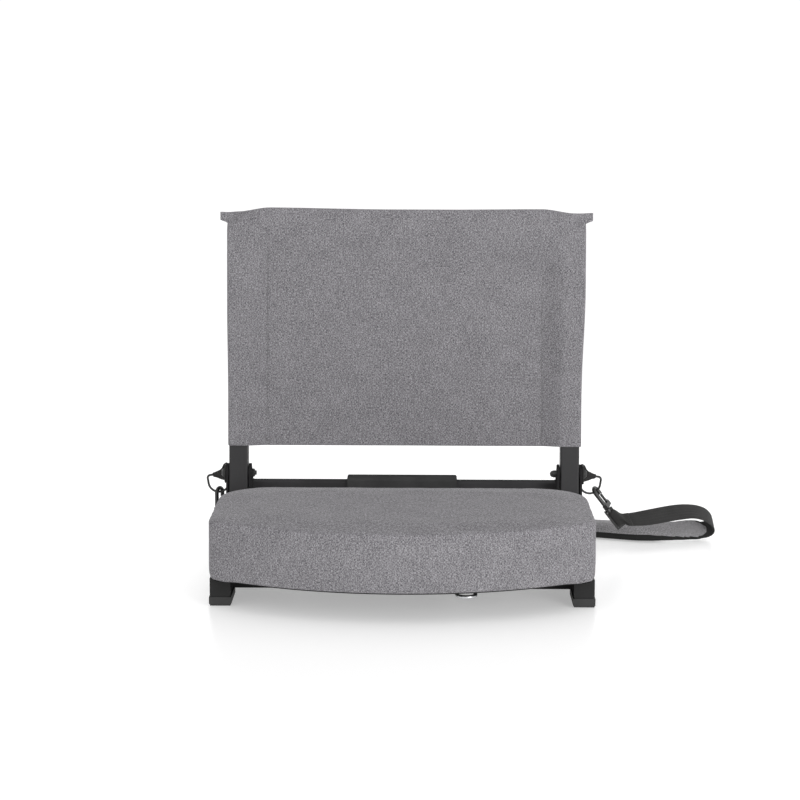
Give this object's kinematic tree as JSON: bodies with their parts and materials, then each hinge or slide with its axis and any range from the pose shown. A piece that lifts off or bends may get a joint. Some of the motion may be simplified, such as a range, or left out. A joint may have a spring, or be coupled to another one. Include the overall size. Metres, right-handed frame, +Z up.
{
  "type": "folding bleacher seat",
  "caption": "Folding bleacher seat with a thick bowed box cushion on a black tube base, a grey sling back that folds forward, a bench hook and a clip-on shoulder strap",
  "frame": {"origin": "On the floor, at the middle of the seat box without the strap", "axes": "+X to the right seen from the front, +Y backward, +Z up"},
  "size_m": [0.7081, 0.5193, 0.468],
  "materials": {
    "frame_steel": "black powder coat, satin",
    "post_steel": "charcoal powder coat, satin",
    "foot_rubber": "matte black rubber",
    "plug_plastic": "matte black",
    "grip_foam": "matte foam",
    "black_hardware": "black oxide",
    "nylon": "matte nylon",
    "plywood": "bare plywood",
    "foam": "open foam",
    "grey_weave": "heathered woven polyester",
    "black_cloth": "non-woven dust cloth",
    "zinc": "zinc plated",
    "webbing": "woven polyester webbing",
    "clip_metal": "black coated cast metal",
    "gate_metal": "dark pressed steel",
    "spring_steel": "bright pressed steel",
    "grip_weave": "heathered woven polyester over foam"
  },
  "bodies": {
    "base": {"side_rail_left": "frame_steel", "side_rail_right": "frame_steel", "rail_plugs_front": "plug_plastic", "rail_plugs_rear": "plug_plastic", "foot_front_left": "foot_rubber", "foot_front_right": "foot_rubber", "foot_rear_left": "foot_rubber", "foot_rear_right": "foot_rubber", "front_crossbar": "frame_steel", "middle_crossbar": "frame_steel", "rear_crossbar": "frame_steel", "handle_grip": "grip_foam", "hinge_plate_outer_left": "frame_steel", "hinge_plate_outer_right": "frame_steel", "hinge_plate_inner_left": "frame_steel", "hinge_plate_inner_right": "frame_steel", "plate_bolts": "black_hardware", "plate_nuts": "black_hardware", "stop_pin_left": "black_hardware", "stop_pin_right": "black_hardware", "pivot_bolt_left": "black_hardware", "pivot_bolt_right": "black_hardware", "pivot_nut_left": "black_hardware", "pivot_nut_right": "black_hardware", "pivot_spacers_left": "nylon", "pivot_spacers_right": "nylon", "seat_board": "plywood", "seat_foam": "foam", "seat_cover": "grey_weave", "dust_cover": "black_cloth", "seat_screws": "zinc", "tee_nuts": "zinc", "ring_tab_left": "webbing", "ring_tab_right": "webbing", "tab_washers": "black_hardware", "swivel_eye_left": "clip_metal", "swivel_eye_right": "clip_metal", "strap_webbing": "webbing", "strap_adjuster": "plug_plastic", "shoulder_pad": "grip_weave", "hook_bracket": "frame_steel", "hook_pin": "zinc"},
    "back": {"back_frame": "post_steel", "back_cover": "grey_weave", "post_plug_left": "plug_plastic", "post_plug_right": "plug_plastic"},
    "ring_left": {"d_ring_left": "clip_metal"},
    "ring_right": {"d_ring_right": "clip_metal"},
    "clip_left": {"snap_hook_left": "clip_metal"},
    "clip_right": {"snap_hook_right": "clip_metal"},
    "gate_left": {"hook_gate_left": "gate_metal", "gate_lever_left": "spring_steel"},
    "gate_right": {"hook_gate_right": "gate_metal", "gate_lever_right": "spring_steel"},
    "bench_swivel": {"hook_swivel": "zinc"},
    "bench_rod": {"bench_hook": "zinc"}
  },
  "joints": [
    {"name": "backrest_fold", "type": "hinge", "parent": "base", "child": "back", "pos_m": [0, 0.16185, 0.111], "axis": [1, 0, 0], "range_deg": [0, 86]},
    {"name": "ring_swing_left", "type": "hinge", "parent": "base", "child": "ring_left", "pos_m": [-0.2563, 0.18005, 0.1053], "axis": [0.9877, 0, 0.1564], "range_deg": [-2, 2]},
    {"name": "ring_swing_right", "type": "hinge", "parent": "base", "child": "ring_right", "pos_m": [0.2563, 0.18005, 0.1053], "axis": [0.9877, 0, -0.1564], "range_deg": [-2, 2]},
    {"name": "clip_swivel_left", "type": "hinge", "parent": "base", "child": "clip_left", "pos_m": [-0.25692, 0.17434, 0.05327], "axis": [0, 0, 1], "range_deg": [0, 12]},
    {"name": "clip_swivel_right", "type": "hinge", "parent": "base", "child": "clip_right", "pos_m": [0.27869, 0.17385, 0.06015], "axis": [-0.6157, 0, 0.788], "range_deg": [-4, 15]},
    {"name": "gate_open_left", "type": "hinge", "parent": "clip_left", "child": "gate_left", "pos_m": [-0.25032, 0.18577, 0.05667], "axis": [0.866, -0.5, 0], "range_deg": [0, 20], "stiffness_Nm_per_rad": 0.1, "springref_deg": -17.19},
    {"name": "gate_open_right", "type": "hinge", "parent": "clip_right", "child": "gate_right", "pos_m": [0.28015, 0.18626, 0.06561], "axis": [0.7405, -0.342, 0.5785], "range_deg": [0, 20], "stiffness_Nm_per_rad": 0.1, "springref_deg": -17.19},
    {"name": "bench_hook_fold", "type": "hinge", "parent": "base", "child": "bench_swivel", "pos_m": [0.067, -0.09495, 0.028], "axis": [1, 0, 0], "range_deg": [0, 90]},
    {"name": "bench_hook_turn", "type": "hinge", "parent": "bench_swivel", "child": "bench_rod", "pos_m": [0.067, -0.11, 0.028], "axis": [0, 1, 0], "range_deg": [0, 90]}
  ]
}
